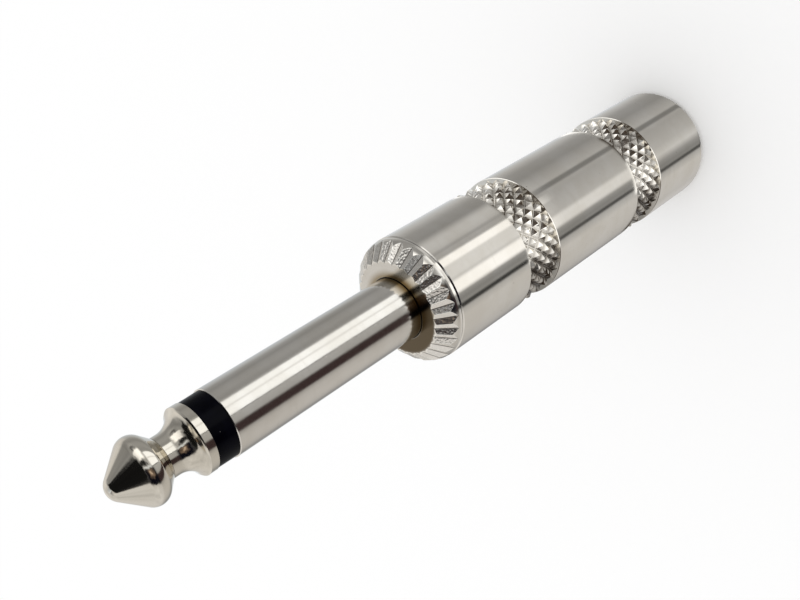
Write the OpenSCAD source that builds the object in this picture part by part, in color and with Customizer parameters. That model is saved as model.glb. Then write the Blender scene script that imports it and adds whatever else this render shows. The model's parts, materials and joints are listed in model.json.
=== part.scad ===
// Mono jack plug of the 6.35 mm size, standing on the barrel's rear face.
// The origin is the centre of that face, and +Z runs along the axis towards the tip.

/* [Finger] */
// Diameter of the sleeve, which is the size of the jack that it enters
finger_d = 6.35; // [6:0.01:7]
// Length of the sleeve in front of the collar
sleeve_len = 21.2; // [15:0.1:30]
// Bore of the sleeve
sleeve_bore_d = 4.2; // [3:0.1:4.6]
// Diameter of the sleeve's thinner shank inside the collar
sleeve_shank_d = 5.5; // [5:0.1:5.9]
// Bevel on the sleeve's front edge
sleeve_bevel = 0.12; // [0.05:0.01:0.3]
// Thickness of the sleeve's rolled rear edge
rolled_edge_t = 0.5; // [0.3:0.05:1]

/* [Front insulator] */
// Length of the black ring
ring_len = 2; // [1:0.1:4]
// How far the ring's surface lies below the sleeve's
ring_step = 0.11; // [0:0.01:0.4]
// How much the moulded ring tapers towards the tip
ring_draft = 0.03; // [0.01:0.01:0.1]
// Length of the ring's spigot in the sleeve's bore
ring_spigot_len = 1.6; // [0.5:0.1:4]

/* [Tip contact] */
// How far the band behind the neck lies below the sleeve's surface
band_step = 0.07; // [0:0.01:0.4]
// Length of the band
band_len = 0.9; // [0.5:0.05:2]
// Bevel on the band's front edge
band_bevel = 0.12; // [0.05:0.01:0.3]
// Diameter of the neck
neck_d = 3.66; // [2.6:0.02:4.4]
// Length of the curve from the band down to the neck
neck_flare_len = 1.8; // [1:0.05:3]
// Length of the neck's straight part
neck_straight_len = 0.62; // [0.2:0.02:2]
// Largest diameter of the ball
ball_d = 6.06; // [5.6:0.02:6.3]
// Radius of the rounding at the ball's widest place
ball_round = 1.15; // [0.5:0.05:1.6]
// Slope of the ball's back against the axis, in degrees
back_angle = 45; // [30:1:60]
// Slope of the nose cone against the axis, in degrees
cone_angle = 42; // [30:1:50]
// Radius of the rounded nose
nose_round = 1.34; // [0.6:0.02:1.8]
// Diameter of the centre rod
rod_d = 1.8; // [1.2:0.1:2.4]
// Diameter of the rod's peened end
peen_d = 2.7; // [2.5:0.1:3.4]
// Height of the rod's peened end
peen_h = 0.55; // [0.3:0.05:1]

/* [Collar] */
// Diameter of the collar's rim
rim_d = 12.72; // [12:0.02:13]
// Length of the collar from the barrel to its front face
collar_len = 2.1; // [1.6:0.05:4]
// Length of the rim's straight part
rim_len = 0.35; // [0.1:0.05:0.8]
// Diameter of the flat front face
face_d = 9.9; // [9.5:0.1:10.6]
// Radius of the curve between the rim and the front face
dome_round = 2.6; // [1.8:0.1:6]
// Number of V grooves across the curve
groove_count = 30; // [20:1:40]
// How far into the flat face the grooves' pointed ends reach
groove_reach = 0.22; // [0.1:0.02:0.4]
// How far from the rim's outside the grooves' outer ends lie
groove_margin = 0.09; // [0.05:0.01:0.2]
// Depth of the grooves' outer ends below the front face
groove_drop = 1.53; // [1.3:0.01:1.7]
// Angle between the two sides of a groove, in degrees
groove_angle = 145; // [130:1:160]

/* [Thread] */
// Outer diameter of the thread that holds the barrel
thread_d = 11; // [10.4:0.1:11.4]
// Pitch of the thread
thread_pitch = 0.75; // [0.5:0.05:1]
// Length of the threaded spigot
thread_len = 7; // [4:0.5:10]
// Bevel on the spigot's rear edge
spigot_bevel = 0.4; // [0.1:0.05:0.6]

/* [Barrel] */
// Length of the barrel in front of the front knurl
front_len = 10.2; // [6:0.1:16]
// Length of the barrel between the two knurls
middle_len = 14.5; // [8:0.1:24]
// Length of the barrel behind the rear knurl
rear_len = 9.9; // [5:0.1:16]
// Diameter of the barrel's front part
front_d = 12.84; // [12.6:0.02:13]
// Diameter of the barrel between the knurls
middle_d = 13.12; // [12.9:0.02:13.3]
// Diameter of the barrel's rear part
rear_d = 13.32; // [13.2:0.02:14]
// Radius of the rounded rear edge
rear_round = 0.8; // [0.2:0.05:1.5]
// Bevel on the barrel's front edge
lip_bevel = 0.1; // [0.05:0.01:0.3]
// Thickness of the rear wall
rear_wall = 3.5; // [2:0.1:4.5]
// Diameter of the hole that the cable enters by
cable_entry_d = 6.8; // [5:0.1:8]
// Bevel at the mouth of the cable hole
entry_bevel = 0.4; // [0.1:0.05:0.8]

/* [Knurls] */
// Length of each knurled band
knurl_len = 4.75; // [3:0.05:8]
// Depth of the knurl
knurl_depth = 0.42; // [0.2:0.02:0.6]
// Number of diamonds round the barrel
knurl_count = 28; // [20:1:36]
// Length of one diamond along the barrel
knurl_pitch = 1.58; // [1.2:0.02:2.4]

/* [Inner pieces] */
// Thickness of the barrel liner
liner_t = 0.35; // [0.2:0.05:0.5]
// Thickness of both terminals' sheet
terminal_t = 0.5; // [0.3:0.05:0.6]
// Width of the sleeve terminal's strip
strip_w = 3.4; // [2:0.1:4]
// Length of the sleeve terminal behind the collar
strip_len = 25; // [18:0.5:27]
// Length of the cable saddle at the strip's end
saddle_len = 5; // [3:0.5:8]
// How far the saddle's arms rise past the axis
saddle_rise = 1; // [0:0.1:2]
// Thickness of the rear insulator's flange
bush_t = 1.2; // [0.6:0.1:2]
// Length of the rear insulator's spigot in the sleeve's bore
bush_spigot_len = 2.5; // [1:0.1:5]
// Width of the tip terminal
lug_w = 2.4; // [1.8:0.1:3]
// Length of the tip terminal's strip
lug_len = 9; // [5:0.5:12]
// Diameter of the solder hole in the tip terminal
lug_hole_d = 1.3; // [0.8:0.1:1.5]
// Diameter of the rod washer
washer_d = 3.6; // [3.4:0.1:4]
// Thickness of the rod washer
washer_t = 0.4; // [0.2:0.05:0.8]

/* [Clearances] */
// Gap round a piece that sits in another's bore
fit_gap = 0.03; // [0.02:0.01:0.05]
// Gap between the barrel's front edge and the collar
seat_gap = 0.05; // [0.02:0.01:0.1]
// Gap between the two threads, which are drawn plain at their middle depth
thread_gap = 0.08; // [0.04:0.01:0.1]
// Gap round the barrel liner
liner_gap = 0.1; // [0.05:0.01:0.15]
// Gap between the sleeve terminal and the liner
strip_gap = 0.2; // [0.1:0.05:0.3]
// Gap between the sleeve terminal's strip and the pieces beside it
stack_gap = 0.15; // [0.1:0.05:0.3]
// Gap between the tip terminal's strip and the rod washer
lug_gap = 0.5; // [0.3:0.1:0.8]
// Room behind the spigot before the barrel's bore narrows
spigot_room = 0.6; // [0.3:0.1:1.5]

/* [Hidden] */
$fn = 96;
// Straight pieces in each arc of an outline
arc_steps = 10;
// How far a cut runs past what it cuts
cut_over = 0.5;
// Width of a groove's cut as a share of the room between two grooves at its inner end
groove_over = 1.6;
// How deep a knurled ring is bedded in the barrel
knurl_bed = 0.12;
// How far the knurl's crests stay below the surface in front of them
crest_gap = 0.02;

nickel = [0.76, 0.74, 0.70];
black_plastic = [0.06, 0.06, 0.065];
brown_fibre = [0.42, 0.25, 0.14];
tinned_brass = [0.78, 0.74, 0.62];
liner_card = [0.80, 0.76, 0.64];

// Radii of the finger
sleeve_r = finger_d / 2;
sleeve_bore_r = sleeve_bore_d / 2;
shank_r = sleeve_shank_d / 2;
ring_r = sleeve_r - ring_step;
band_r = sleeve_r - band_step;
neck_r = neck_d / 2;
ball_r = ball_d / 2;
rod_r = rod_d / 2;
rod_bore_r = rod_r + fit_gap;
plug_in_bore_r = sleeve_bore_r - fit_gap;

// Radii of the barrel, the threads and the liner
thread_depth = 0.6134 * thread_pitch;
pitch_r = (thread_d - thread_depth) / 2;
spigot_r = pitch_r - thread_gap / 2;
nut_r = pitch_r + thread_gap / 2;
cavity_r = thread_d / 2 - thread_depth;
liner_out_r = cavity_r - liner_gap;
liner_in_r = liner_out_r - liner_t;
entry_r = cable_entry_d / 2;

// Places along the axis, from the rear
barrel_len = rear_len + knurl_len + middle_len + knurl_len + front_len;
collar_z = barrel_len + seat_gap;
face_z = collar_z + collar_len;
sleeve_z = face_z + sleeve_len;
tip_z = sleeve_z + ring_len;
spigot_z = collar_z - thread_len;
rolled_z = spigot_z - terminal_t - rolled_edge_t;
bush_z = rolled_z - bush_t;
lug_z = bush_z - terminal_t;
washer_z = lug_z - washer_t;
peen_z = washer_z - peen_h;
rear_knurl_z = rear_len;
front_knurl_z = rear_len + knurl_len + middle_len;
nut_len = thread_len + spigot_room;
strip_end_z = spigot_z - strip_len;

// Places of the terminals beside the axis
strip_out_y = sqrt(pow(liner_in_r - strip_gap, 2) - pow(strip_w / 2, 2));
strip_in_y = strip_out_y - terminal_t;
stack_r = strip_in_y - stack_gap;
lug_in_y = washer_d / 2 + lug_gap;
lug_out_y = lug_in_y + terminal_t;

// Points of an arc about [centre_r, centre_z], from one angle to another
function arc(centre_r, centre_z, radius, from, to) =
    [for (i = [0 : arc_steps])
        let (a = from + (to - from) * i / arc_steps)
        [centre_r + radius * cos(a), centre_z + radius * sin(a)]];

// Centre of the arc of a given radius from p to q that bulges to the right of that way
function arc_centre(p, q, radius) =
    let (way = q - p, chord = norm(way), middle = (p + q) / 2)
    middle + [-way[1], way[0]] / chord * sqrt(radius * radius - chord * chord / 4);

// A hollow turned piece between two heights
module tube(inner_r, outer_r, z, len) {
    translate([0, 0, z])
        rotate_extrude()
            translate([inner_r, 0])
                square([outer_r - inner_r, len]);
}

// Tip contact: the flare runs into the neck, and the ball and nose follow tangent to their cones
module tip_contact() {
    band_end_z = tip_z + band_len;
    flare_drop = band_r - band_bevel - neck_r;
    flare_r = (neck_flare_len * neck_flare_len + flare_drop * flare_drop) / (2 * flare_drop);
    flare_end_z = band_end_z + neck_flare_len;
    crease_z = flare_end_z + neck_straight_len;
    back_r = ball_r - ball_round * (1 - cos(back_angle));
    ball_z = crease_z + (back_r - neck_r) / tan(back_angle) + ball_round * sin(back_angle);
    cone_r = ball_r - ball_round * (1 - cos(cone_angle));
    cone_z = ball_z + ball_round * sin(cone_angle);
    nose_z = cone_z + (cone_r - nose_round * cos(cone_angle)) / tan(cone_angle)
        - nose_round * sin(cone_angle);
    color(nickel)
        rotate_extrude()
            polygon(concat(
                [[0, peen_z], [rod_r, peen_z], [peen_d / 2, peen_z + peen_h / 2],
                 [peen_d / 2, washer_z], [rod_r, washer_z], [rod_r, tip_z], [band_r, tip_z],
                 [band_r, band_end_z - band_bevel]],
                arc(neck_r + flare_r, flare_end_z, flare_r, 180 + asin(neck_flare_len / flare_r), 180),
                [[neck_r, crease_z]],
                arc(ball_r - ball_round, ball_z, ball_round, -back_angle, cone_angle),
                arc(0, nose_z, nose_round, cone_angle, 90)));
}

// Black ring with a spigot that centres it in the sleeve
module front_insulator() {
    color(black_plastic)
        rotate_extrude()
            polygon([[rod_bore_r, sleeve_z - ring_spigot_len], [plug_in_bore_r, sleeve_z - ring_spigot_len],
                     [plug_in_bore_r, sleeve_z], [ring_r, sleeve_z], [ring_r - ring_draft, tip_z],
                     [rod_bore_r, tip_z]]);
}

// Tube that keeps the rod clear of the sleeve between the two insulators
module insulating_tube() {
    tube_z = rolled_z + bush_spigot_len;
    color(brown_fibre)
        tube(rod_bore_r, plug_in_bore_r, tube_z, sleeve_z - ring_spigot_len - tube_z);
}

// Sleeve: its shoulder sits on the collar, and its rolled edge clamps the sleeve terminal behind it
module sleeve() {
    color(nickel)
        rotate_extrude()
            polygon([[sleeve_bore_r, rolled_z], [stack_r, rolled_z], [stack_r, rolled_z + rolled_edge_t],
                     [shank_r, rolled_z + rolled_edge_t], [shank_r, face_z], [sleeve_r, face_z],
                     [sleeve_r, sleeve_z - sleeve_bevel], [sleeve_r - sleeve_bevel, sleeve_z],
                     [sleeve_bore_r, sleeve_z]]);
}

// One V-shaped cut, along the line from its point in the flat face to its point near the rim
module groove_cut() {
    in_r = face_d / 2 - groove_reach;
    out_r = rim_d / 2 - groove_margin;
    run = out_r - in_r;
    slope = atan2(run, -groove_drop);
    half_w = in_r * tan(180 / groove_count) * groove_over;
    height = half_w / tan(groove_angle / 2);
    translate([in_r, 0, face_z])
        rotate([0, slope, 0])
            rotate([0, 0, 90])
                translate([0, 0, -cut_over])
                    linear_extrude(norm([run, groove_drop]) + 2 * cut_over)
                        polygon([[0, 0], [half_w, height], [half_w, height + cut_over],
                                 [-half_w, height + cut_over], [-half_w, height]]);
}

// Collar: flat front face, grooved curve, whole rim and the spigot for the barrel
module collar() {
    bore_r = shank_r + fit_gap;
    rim_r = rim_d / 2;
    rim_top = [rim_r, collar_z + rim_len];
    face_edge = [face_d / 2, face_z];
    dome = arc_centre(rim_top, face_edge, dome_round);
    from = atan2(rim_top[1] - dome[1], rim_top[0] - dome[0]);
    to = atan2(face_edge[1] - dome[1], face_edge[0] - dome[0]);
    color(nickel)
        difference() {
            rotate_extrude()
                polygon(concat(
                    [[bore_r, spigot_z], [spigot_r - spigot_bevel, spigot_z],
                     [spigot_r, spigot_z + spigot_bevel], [spigot_r, collar_z], [rim_r, collar_z]],
                    arc(dome[0], dome[1], dome_round, from, to),
                    [[bore_r, face_z]]));
            for (i = [0 : groove_count - 1])
                rotate([0, 0, i * 360 / groove_count])
                    groove_cut();
        }
}

// Sleeve terminal: a ring behind the collar, a strip along the liner and a saddle for the cable
module sleeve_terminal() {
    color(tinned_brass)
        union() {
            tube(shank_r + fit_gap, strip_out_y, spigot_z - terminal_t, terminal_t);
            translate([-strip_w / 2, -strip_out_y, strip_end_z])
                cube([strip_w, terminal_t, strip_len]);
            difference() {
                tube(strip_in_y, strip_out_y, strip_end_z, saddle_len);
                translate([-strip_out_y, saddle_rise, strip_end_z - cut_over])
                    cube([2 * strip_out_y, strip_out_y, saddle_len + 2 * cut_over]);
            }
        }
}

// Rear insulator: a bush whose flange keeps the two terminals apart
module rear_insulator() {
    color(brown_fibre)
        rotate_extrude()
            polygon([[rod_bore_r, bush_z], [stack_r, bush_z], [stack_r, rolled_z],
                     [plug_in_bore_r, rolled_z], [plug_in_bore_r, rolled_z + bush_spigot_len],
                     [rod_bore_r, rolled_z + bush_spigot_len]]);
}

// Tip terminal: an eye on the rod, folded into a strip with a solder hole
module tip_terminal() {
    hole_z = bush_z - lug_len + lug_w / 2;
    color(tinned_brass)
        difference() {
            union() {
                translate([0, 0, lug_z])
                    cylinder(d = washer_d + terminal_t, h = terminal_t);
                translate([-lug_w / 2, 0, lug_z])
                    cube([lug_w, lug_out_y, terminal_t]);
                translate([-lug_w / 2, lug_in_y, bush_z - lug_len])
                    cube([lug_w, terminal_t, lug_len]);
            }
            translate([0, 0, lug_z - cut_over])
                cylinder(r = rod_bore_r, h = terminal_t + 2 * cut_over);
            translate([0, lug_in_y - cut_over, hole_z])
                rotate([-90, 0, 0])
                    cylinder(d = lug_hole_d, h = terminal_t + 2 * cut_over);
        }
}

// Washer under the rod's peened end
module rod_washer() {
    color(tinned_brass)
        tube(rod_bore_r, washer_d / 2, washer_z, washer_t);
}

// Knurled ring: a net of points whose crests and crossings alternate, so that each crest is a
// four-sided pyramid and the groove lines run between the crossings
module knurl_ring(crest_r, z) {
    columns = 2 * knurl_count;
    rows = max(2, round(2 * knurl_len / knurl_pitch));
    step_z = knurl_len / rows;
    root_r = crest_r - knurl_depth;
    core_r = root_r - 2 * knurl_bed;
    heights = concat([-knurl_bed], [for (j = [0 : rows]) j * step_z], [knurl_len + knurl_bed]);
    parity = concat([0], [for (j = [0 : rows]) j], [rows]);
    layers = len(heights);
    outer = [for (j = [0 : layers - 1], i = [0 : columns - 1])
        let (a = 360 * i / columns, r = (i + parity[j]) % 2 == 0 ? crest_r : root_r)
        [r * cos(a), r * sin(a), heights[j]]];
    inner = [for (j = [0, layers - 1], i = [0 : columns - 1])
        let (a = 360 * i / columns)
        [core_r * cos(a), core_r * sin(a), heights[j]]];
    low = layers * columns;
    high = low + columns;
    top = (layers - 1) * columns;
    net = [for (j = [0 : layers - 2], i = [0 : columns - 1])
        let (k = (i + 1) % columns, a = j * columns + i, b = j * columns + k,
             c = a + columns, d = b + columns)
        each (i + parity[j]) % 2 == 0
            ? [[a, c, b], [b, c, d]]
            : [[a, d, b], [a, c, d]]];
    rest = [for (i = [0 : columns - 1])
        let (k = (i + 1) % columns)
        each [[low + i, i, k], [low + i, k, low + k],
              [high + i, top + k, top + i], [high + i, high + k, top + k],
              [low + i, low + k, high + k], [low + i, high + k, high + i]]];
    translate([0, 0, z])
        polyhedron(points = concat(outer, inner), faces = concat(net, rest), convexity = 6);
}

// Barrel: a turned shell with two recesses that the knurled rings fill
module barrel() {
    front_r = front_d / 2;
    middle_r = middle_d / 2;
    rear_r = rear_d / 2;
    front_crest_r = front_r - crest_gap;
    rear_crest_r = middle_r - crest_gap;
    front_bed_r = front_crest_r - knurl_depth - knurl_bed;
    rear_bed_r = rear_crest_r - knurl_depth - knurl_bed;
    color(nickel)
        union() {
            rotate_extrude()
                polygon(concat(
                    [[entry_r + entry_bevel, 0]],
                    arc(rear_r - rear_round, rear_round, rear_round, -90, 0),
                    [[rear_r, rear_knurl_z], [rear_bed_r, rear_knurl_z],
                     [rear_bed_r, rear_knurl_z + knurl_len], [middle_r, rear_knurl_z + knurl_len],
                     [middle_r, front_knurl_z], [front_bed_r, front_knurl_z],
                     [front_bed_r, front_knurl_z + knurl_len], [front_r, front_knurl_z + knurl_len],
                     [front_r, barrel_len - lip_bevel], [front_r - lip_bevel, barrel_len],
                     [nut_r, barrel_len], [nut_r, barrel_len - nut_len],
                     [cavity_r, barrel_len - nut_len], [cavity_r, rear_wall], [entry_r, rear_wall],
                     [entry_r, entry_bevel]]));
            knurl_ring(rear_crest_r, rear_knurl_z);
            knurl_ring(front_crest_r, front_knurl_z);
        }
}

// Liner: a thin tube that keeps the terminals off the barrel
module barrel_liner() {
    liner_z = rear_wall + seat_gap;
    color(liner_card)
        tube(liner_in_r, liner_out_r, liner_z, spigot_z - strip_gap - liner_z);
}

tip_contact();
front_insulator();
insulating_tube();
sleeve();
collar();
sleeve_terminal();
rear_insulator();
tip_terminal();
rod_washer();
barrel();
barrel_liner();
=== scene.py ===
# %% [markdown]
# # A 6.35 mm mono jack plug
#
# The plug stands on the rear face of its barrel and points straight up.
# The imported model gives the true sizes, so each piece here is made at the same place, in metres.
# Sizes are written in millimetres and multiplied by mm, because the drawings of such small parts use them.

# %% Load the frame
import json
import math

import bmesh
import bpy
from mathutils import Matrix, Vector, noise

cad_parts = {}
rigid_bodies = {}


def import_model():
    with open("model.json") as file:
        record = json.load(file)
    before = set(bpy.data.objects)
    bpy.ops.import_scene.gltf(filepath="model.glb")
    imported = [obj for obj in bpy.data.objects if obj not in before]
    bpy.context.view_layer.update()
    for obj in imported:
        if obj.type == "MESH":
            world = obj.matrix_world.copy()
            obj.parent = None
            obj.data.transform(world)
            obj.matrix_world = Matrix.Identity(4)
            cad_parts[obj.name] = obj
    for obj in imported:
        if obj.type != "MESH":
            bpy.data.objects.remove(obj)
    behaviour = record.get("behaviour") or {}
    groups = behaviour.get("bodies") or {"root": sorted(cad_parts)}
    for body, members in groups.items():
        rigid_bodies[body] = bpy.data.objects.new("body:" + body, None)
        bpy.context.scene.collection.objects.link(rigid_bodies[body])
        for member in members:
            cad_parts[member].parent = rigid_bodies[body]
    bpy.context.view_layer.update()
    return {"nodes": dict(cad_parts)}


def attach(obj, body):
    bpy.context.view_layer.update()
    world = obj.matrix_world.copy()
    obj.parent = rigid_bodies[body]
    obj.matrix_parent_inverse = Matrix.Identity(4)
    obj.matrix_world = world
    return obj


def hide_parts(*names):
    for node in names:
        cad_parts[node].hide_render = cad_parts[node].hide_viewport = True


for leftover in list(bpy.data.objects):
    bpy.data.objects.remove(leftover)
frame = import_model()
mm = 0.001
scene = bpy.context.scene
scene.view_settings.view_transform = "Standard"
print("nodes:", ", ".join(sorted(frame["nodes"])))

# %% [markdown]
# ## Camera
#
# The photograph looks at the plug from the tip's side, with the plug lying across the picture.
# Here the plug stands, so the same view is a camera above the tip's level that is rolled on its side.
# The camera is given by the point that it aims at, its distance, its two angles and its roll,
# which are easier to read and to change than a rotation matrix.

# %% Place the camera
aim = Vector((0.512, 0.032, 45.406)) * mm
camera_distance = 86.65 * mm
camera_azimuth = math.radians(-86.476)
camera_elevation = math.radians(35.863)
camera_roll = math.radians(122.302)

back = Vector((math.cos(camera_elevation) * math.cos(camera_azimuth),
               math.cos(camera_elevation) * math.sin(camera_azimuth),
               math.sin(camera_elevation)))
lens_data = bpy.data.cameras.new("photo_camera")
lens_data.sensor_width = 36
lens_data.lens = 41.214
lens_data.clip_start = 5 * mm
lens_data.clip_end = 20
camera = bpy.data.objects.new("photo_camera", lens_data)
scene.collection.objects.link(camera)
camera.rotation_mode = "QUATERNION"
level = (-back).to_track_quat("-Z", "Y")
camera.rotation_quaternion = level @ Matrix.Rotation(-camera_roll, 3, "Z").to_quaternion()
camera.location = aim + back * camera_distance
scene.camera = camera
bpy.context.view_layer.update()
print("camera up:", [round(x, 4) for x in camera.matrix_world.to_3x3() @ Vector((0, 1, 0))])

# %% [markdown]
# ## A pen for turned outlines
#
# Every metal piece of the plug is turned on a lathe, so each starts as half of its section.
# A pen draws that half as a chain of edges in the XZ plane: extruding a vertex draws a line,
# and spinning a vertex about a centre draws an arc.
# A long line gets one more vertex close to each of its ends. These hold the shading flat right up
# to a bevel, because a smooth normal would otherwise fade across the whole length of the piece.

# %% Outline pen
shade_hold = 0.04 * mm


class Outline:
    """Half of a turned piece's section, drawn as a chain of edges in the XZ plane."""

    def __init__(self, r, z):
        self.mesh = bmesh.new()
        self.first = self.pen = self.mesh.verts.new((r * mm, 0, z * mm))

    def step_to(self, place):
        self.pen = bmesh.ops.extrude_vert_indiv(self.mesh, verts=[self.pen])["verts"][0]
        self.pen.co = place

    def line(self, r, z):
        start, end = self.pen.co.copy(), Vector((r * mm, 0, z * mm))
        way = end - start
        if way.length > 8 * shade_hold:
            self.step_to(start + way.normalized() * shade_hold)
            self.step_to(end - way.normalized() * shade_hold)
        self.step_to(end)
        return self

    def arc(self, centre_r, centre_z, degrees, steps=12):
        """Goes round the centre, anticlockwise with r to the right and z up."""
        made = bmesh.ops.spin(self.mesh, geom=[self.pen], cent=(centre_r * mm, 0, centre_z * mm),
                              axis=(0, -1, 0), dvec=(0, 0, 0), angle=math.radians(degrees), steps=steps)
        self.pen = [v for v in made["geom_last"] if isinstance(v, bmesh.types.BMVert)][0]
        return self

    def close(self):
        self.mesh.edges.new((self.pen, self.first))
        return self


# %% [markdown]
# ## From an outline to a piece
#
# A full spin turns the outline into the piece. Its last copy is merged with the first, and the ring
# of vertices at a pole is merged to one point. Only then are the normals recalculated, because a
# spin can come out inside out. The finished object stays at the origin, with its place in its mesh.
# Every vertex also gets two numbers for the materials: one is 1 on a sharp outer corner, where they paint a highlight
# along with some wear, and cleft is 1 in a sharp inner one, where they paint shade along with some dirt.

# %% Turn and finish a piece
turning_steps = 192
merge_gap = 0.0002 * mm
corner_from, corner_full = 10, 30


def turn(outline):
    shape = outline.mesh
    bmesh.ops.spin(shape, geom=shape.verts[:] + shape.edges[:], cent=(0, 0, 0), axis=(0, 0, 1),
                   dvec=(0, 0, 0), angle=math.tau, steps=turning_steps, use_merge=True)
    bmesh.ops.remove_doubles(shape, verts=shape.verts[:], dist=merge_gap)
    bmesh.ops.recalc_face_normals(shape, faces=shape.faces[:])
    return shape


def join(shape, *others):
    """Puts the other shapes into the first one, as loose shells of the same piece."""
    for other in others:
        loose = bpy.data.meshes.new("loose_shell")
        other.to_mesh(loose)
        other.free()
        shape.from_mesh(loose)
        bpy.data.meshes.remove(loose)
    return shape


def mark_corners(shape):
    worn = shape.verts.layers.float.new("worn_and_highlit_edge")
    cleft = shape.verts.layers.float.new("cleft")
    shape.normal_update()
    for edge in shape.edges:
        if len(edge.link_faces) == 2:
            bend = math.degrees(edge.calc_face_angle_signed(0))
            mark = worn if bend > 0 else cleft
            amount = min(1, max(0, (abs(bend) - corner_from) / (corner_full - corner_from)))
            for vertex in edge.verts:
                vertex[mark] = max(vertex[mark], amount)
    for vertex in shape.verts:
        vertex[worn] *= 1 - vertex[cleft]


def finish_piece(name, shape, materials, body, nodes, sharp=26):
    mark_corners(shape)
    mesh = bpy.data.meshes.new(name)
    shape.to_mesh(mesh)
    shape.free()
    for material in materials:
        mesh.materials.append(material)
    mesh.shade_smooth()
    mesh.set_sharp_from_angle(angle=math.radians(sharp))
    piece = bpy.data.objects.new(name, mesh)
    scene.collection.objects.link(piece)
    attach(piece, body)
    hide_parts(*nodes)
    size = piece.dimensions / mm
    print(f"{name}: {len(mesh.polygons)} faces, {size.x:.2f} x {size.y:.2f} x {size.z:.2f} mm")
    return piece



# %% [markdown]
# ## Floor and world
#
# The floor and the world are plain white, as the photograph's background is.
# The white comes from the floor's own colour under a world of strength 1, so the floor keeps the soft
# shadow in which the plug stands, and a colour on the plug renders about as it is written.
# Metal doesn't mirror the floor, because cards stand for the surroundings in every mirror image.

# %% Floor and world
world = bpy.data.worlds.new("studio")
scene.world = world
world.use_nodes = True
world.node_tree.nodes["Background"].inputs["Color"].default_value = (1, 1, 1, 1)
world.node_tree.nodes["Background"].inputs["Strength"].default_value = 1

floor_half = 2.0
floor_mesh = bpy.data.meshes.new("floor")
floor_shape = bmesh.new()
bmesh.ops.create_grid(floor_shape, x_segments=1, y_segments=1, size=floor_half)
floor_shape.to_mesh(floor_mesh)
floor_shape.free()
floor = bpy.data.objects.new("floor", floor_mesh)
scene.collection.objects.link(floor)
floor.visible_glossy = False
floor_paint = bpy.data.materials.new("floor_paint")
floor_paint.use_nodes = True
floor_shader = floor_paint.node_tree.nodes["Principled BSDF"]
floor_shader.inputs["Base Color"].default_value = (1, 1, 1, 1)
floor_shader.inputs["Roughness"].default_value = 1
floor_shader.inputs["Specular IOR Level"].default_value = 0
floor_mesh.materials.append(floor_paint)
print("floor:", 2 * floor_half, "m square")


# %% [markdown]
# ## Cards for the metal to mirror
#
# Polished metal has no look of its own: it shows what stands round it. A studio gives it
# streaks with cards: grey all round, black strips for the dark lines, and pale ones for the bright lines.
# Here the cards are shells round the plug that only the metal sees, so the floor stays plain.
# Their pattern is made of soft-edged strips, each placed by its azimuth and its height.
# One node group makes the mask of a strip, and it is used again for every strip.

# %% Strip mask group
def new_group(name, inputs, outputs):
    group = bpy.data.node_groups.new(name, "ShaderNodeTree")
    for socket, kind in inputs:
        group.interface.new_socket(socket, in_out="INPUT", socket_type=kind)
    for socket, kind in outputs:
        group.interface.new_socket(socket, in_out="OUTPUT", socket_type=kind)
    return group, group.nodes.new("NodeGroupInput").outputs, group.nodes.new("NodeGroupOutput").inputs


def add(tree, kind, settings=None, **values):
    """Adds a node. Values are socket names with _ for a space, and are numbers or other nodes' outputs."""
    made = tree.nodes.new(kind)
    for name, value in (settings or {}).items():
        setattr(made, name, value)
    for name, value in values.items():
        socket = made.inputs[int(name[1:])] if name[0] == "i" and name[1:].isdigit() else made.inputs[name.replace("_", " ")]
        if isinstance(value, bpy.types.NodeSocket):
            tree.links.new(value, socket)
        else:
            socket.default_value = value
    return made


def calc(tree, operation, *values):
    """A Math node; values are numbers or sockets."""
    return add(tree, "ShaderNodeMath", {"operation": operation},
               **{f"i{n}": value for n, value in enumerate(values)}).outputs[0]


strip_group, strip_in, strip_out = new_group(
    "card_strip",
    [(name, "NodeSocketFloat") for name in
     ("Azimuth", "Height", "Middle", "Half Width", "Softness", "Low", "High", "Height Softness")],
    [("Mask", "NodeSocketFloat")])
off_middle = calc(strip_group, "ABSOLUTE", calc(
    strip_group, "WRAP", calc(strip_group, "SUBTRACT", strip_in["Azimuth"], strip_in["Middle"]), 180.0, -180.0))


def soft_step(tree, value, start, end):
    return add(tree, "ShaderNodeMapRange", {"interpolation_type": "SMOOTHSTEP"},
               Value=value, From_Min=start, From_Max=end).outputs[0]


across = soft_step(strip_group, off_middle,
                   calc(strip_group, "ADD", strip_in["Half Width"], strip_in["Softness"]),
                   calc(strip_group, "SUBTRACT", strip_in["Half Width"], strip_in["Softness"]))
above_low = soft_step(strip_group, strip_in["Height"],
                      calc(strip_group, "SUBTRACT", strip_in["Low"], strip_in["Height Softness"]),
                      calc(strip_group, "ADD", strip_in["Low"], strip_in["Height Softness"]))
below_high = soft_step(strip_group, strip_in["Height"],
                       calc(strip_group, "ADD", strip_in["High"], strip_in["Height Softness"]),
                       calc(strip_group, "SUBTRACT", strip_in["High"], strip_in["Height Softness"]))
strip_group.links.new(calc(strip_group, "MULTIPLY", across, calc(strip_group, "MULTIPLY", above_low, below_high)),
                      strip_out["Mask"])
print("group:", strip_group.name)


# %% [markdown]
# ## Two shells
#
# The far shell is a dome over a round floor card. It is what the sleeve, the tip and the collar mirror.
# The barrel looks straight down to the floor close by, so it gets its own ring of cards near
# its wall, where the streaks stay straight along its whole length.
# At each knurled band the ring has its own black and white strips, which light one flank of
# every pyramid and leave the other one dark. They end where the smooth wall next to the band
# would begin to see them.
# A height on the far shell is an angle above the middle of the plug, and on the ring it is in millimetres.
# Above the horizon a noise bends the far shell's strips a little, because the round tip would
# otherwise mirror plain rectangles. Below it they stay straight for the straight sleeve.

# %% Card shells
bend_cells, bend_degrees, uneven_cells = 7.0, 34.0, 4.5


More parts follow.
